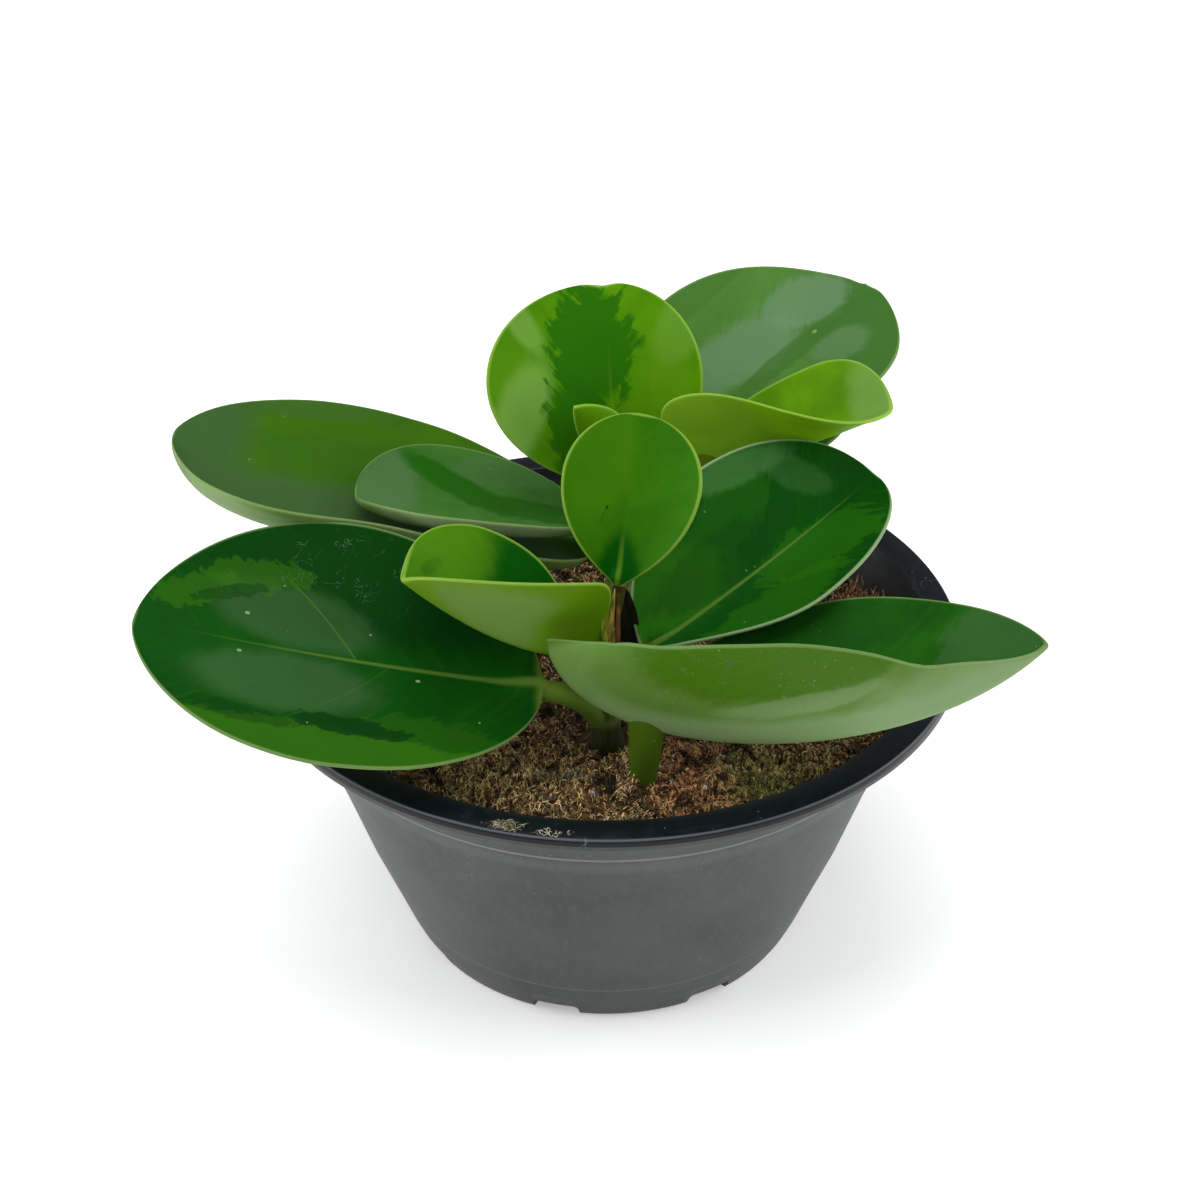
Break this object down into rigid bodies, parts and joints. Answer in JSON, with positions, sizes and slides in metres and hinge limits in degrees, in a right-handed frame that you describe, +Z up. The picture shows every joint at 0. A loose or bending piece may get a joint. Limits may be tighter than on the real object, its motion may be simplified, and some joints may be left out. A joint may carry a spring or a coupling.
{
  "type": "potted peperomia",
  "caption": "Small peperomia with thick spoon-shaped leaves on short stems, rooted in peat in a shallow round plastic nursery pot.",
  "frame": {"origin": "on the pot's axis, on the plane of the pot's underside, so the plant stands at z 0", "axes": "+Z up along the pot's axis, -Y towards the front that the large forward leaves face, +X to the right seen from the front"},
  "size_m": [0.1932, 0.165, 0.153],
  "materials": {
    "pot": "satin",
    "soil": "matte",
    "stem": "satin",
    "old_leaf": "satin",
    "young_leaf": "satin"
  },
  "bodies": {
    "root": {"pot": "pot", "soil": "soil", "main_stem": "stem", "back_stem": "stem", "leaf_front_left": "old_leaf", "leaf_back_left": "old_leaf", "leaf_mid_left": "old_leaf", "leaf_young_left": "young_leaf", "leaf_young_centre": "young_leaf", "leaf_right": "old_leaf", "leaf_front_right": "old_leaf", "leaf_back_round": "young_leaf", "leaf_back_right": "old_leaf", "leaf_young_right": "young_leaf", "leaf_bud": "young_leaf"}
  },
  "joints": []
}
